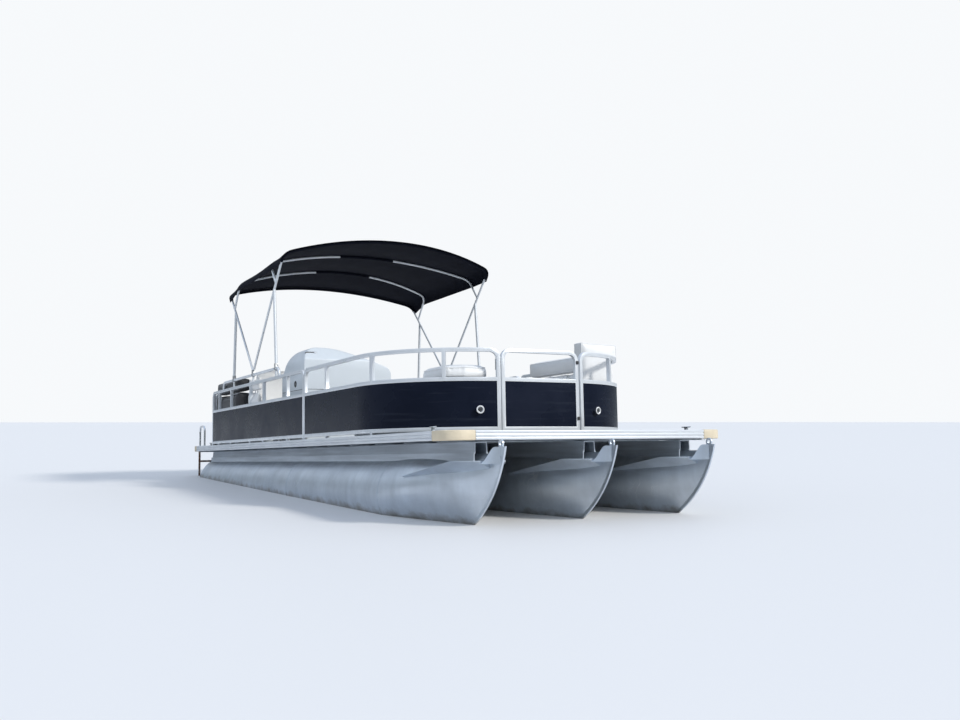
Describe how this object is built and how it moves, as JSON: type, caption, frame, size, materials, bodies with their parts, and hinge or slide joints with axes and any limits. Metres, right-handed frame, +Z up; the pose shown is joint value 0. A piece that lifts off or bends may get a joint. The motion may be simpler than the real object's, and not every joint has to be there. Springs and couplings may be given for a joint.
{
  "type": "pontoon boat",
  "caption": "Open deck boat on round aluminium tubes with railed dark panels, gates, lounges, helm console, canvas top and tilting outboard motor.",
  "frame": {"origin": "middle of the length and beam, on the plane that the keel strips stand on", "axes": "+X towards the bow, +Y to port, +Z up; the deck is level"},
  "size_m": [9.248, 2.59, 3.001],
  "materials": {
    "hull_aluminium": "bare mill aluminium, weathered, streaked near the waterline",
    "rail_aluminium": "satin anodised square rail",
    "panel_dark": "gloss dark navy sheet, lightly scuffed",
    "deck_carpet": "grey beige marine carpet",
    "corner_plastic": "tan moulded cap, sun faded",
    "bright_metal": "polished fittings",
    "canopy_tube": "satin anodised round tube",
    "canopy_cloth": "black navy acrylic canvas",
    "console_shell": "light grey moulded shell",
    "vinyl_white": "off-white marine vinyl",
    "vinyl_dark": "dark marine vinyl",
    "seat_metal": "cast and spun aluminium",
    "wheel_black": "soft black rim",
    "motor_black": "satin black enamel",
    "propeller_metal": "cast stainless steel",
    "ladder_metal": "aluminium, stained brown below the waterline"
  },
  "bodies": {
    "boat": {"canopy_canvas": "canopy_cloth", "canopy_main_bows": "canopy_tube", "canopy_mid_bows": "canopy_tube", "canopy_mounts": "bright_metal", "canopy_rails": "canopy_tube", "canopy_struts": "canopy_tube", "chair_pedestal": "seat_metal", "cleats": "bright_metal", "console": "console_shell", "corner_caps": "corner_plastic", "cross_members": "hull_aluminium", "deck_floor": "deck_carpet", "deck_trim": "rail_aluminium", "docking_lights": "bright_metal", "fence_bow_port": "rail_aluminium", "fence_bow_starboard": "rail_aluminium", "fence_side_port": "rail_aluminium", "fence_side_starboard": "rail_aluminium", "fence_stern": "rail_aluminium", "gate_hinges": "rail_aluminium", "helm_column": "console_shell", "ladder_brackets": "bright_metal", "lounge_backs": "vinyl_white", "lounge_backs_dark": "vinyl_dark", "lounge_bases": "console_shell", "lounge_bolster": "vinyl_white", "lounge_raised_back": "vinyl_white", "lounge_seats": "vinyl_white", "lounge_seats_dark": "vinyl_dark", "motor_pod": "hull_aluminium", "outboard_bracket": "motor_black", "panels_bow": "panel_dark", "panels_side": "panel_dark", "panels_stern": "panel_dark", "risers": "hull_aluminium", "stern_rails": "bright_metal", "transom": "hull_aluminium", "tube_center": "hull_aluminium", "tube_port": "hull_aluminium", "tube_starboard": "hull_aluminium"},
    "gate_bow": {"gate_bow_frame": "rail_aluminium", "gate_bow_panel": "panel_dark"},
    "gate_stern": {"gate_stern_frame": "rail_aluminium", "gate_stern_panel": "panel_dark"},
    "gate_side": {"gate_side_frame": "rail_aluminium", "gate_side_panel": "panel_dark"},
    "helm_wheel": {"helm_wheel": "wheel_black"},
    "helm_chair": {"chair_mount": "seat_metal", "chair_seat": "vinyl_white", "chair_back": "vinyl_white", "chair_arms": "vinyl_white"},
    "outboard_tilting": {"outboard_swivel": "motor_black"},
    "outboard_steered": {"outboard_leg": "motor_black", "outboard_cowl": "motor_black"},
    "propeller": {"propeller": "propeller_metal"},
    "boarding_ladder": {"boarding_ladder": "ladder_metal"}
  },
  "joints": [
    {"name": "gate_bow_hinge", "type": "hinge", "parent": "boat", "child": "gate_bow", "pos_m": [3.57845, -0.386, 0.816], "axis": [0, 0, 1], "range_deg": [0, 90]},
    {"name": "gate_stern_hinge", "type": "hinge", "parent": "boat", "child": "gate_stern", "pos_m": [-2.25555, 0.325, 0.816], "axis": [0, 0, 1], "range_deg": [0, 90]},
    {"name": "gate_side_hinge", "type": "hinge", "parent": "boat", "child": "gate_side", "pos_m": [1.29045, 1.219, 0.816], "axis": [0, 0, 1], "range_deg": [0, 90]},
    {"name": "helm_wheel_turn", "type": "hinge", "parent": "boat", "child": "helm_wheel", "pos_m": [0.05559, -0.82, 1.62803], "axis": [0.7229, 0, -0.691], "range_deg": [-720, 720]},
    {"name": "chair_swivel", "type": "hinge", "parent": "boat", "child": "helm_chair", "pos_m": [-0.84655, -0.82, 1.116], "axis": [0, 0, 1], "continuous": true},
    {"name": "outboard_tilt", "type": "hinge", "parent": "boat", "child": "outboard_tilting", "pos_m": [-3.40655, 0, 0.876], "axis": [0, 1, 0], "range_deg": [-62, 0]},
    {"name": "outboard_steer", "type": "hinge", "parent": "outboard_tilting", "child": "outboard_steered", "pos_m": [-3.43941, 0, 0.93781], "axis": [0.8829, 0, 0.4695], "range_deg": [-30, 30]},
    {"name": "propeller_spin", "type": "hinge", "parent": "outboard_steered", "child": "propeller", "pos_m": [-4.50543, 0, 0.91916], "axis": [0.4695, 0, -0.8829], "continuous": true},
    {"name": "ladder_fold", "type": "hinge", "parent": "boat", "child": "boarding_ladder", "pos_m": [-3.27455, -1.025, 0.782], "axis": [0, 1, 0], "range_deg": [0, 170]}
  ],
  "couplings": [
    {"joint": "helm_wheel_turn", "follows": "outboard_steer", "ratio": 24}
  ]
}
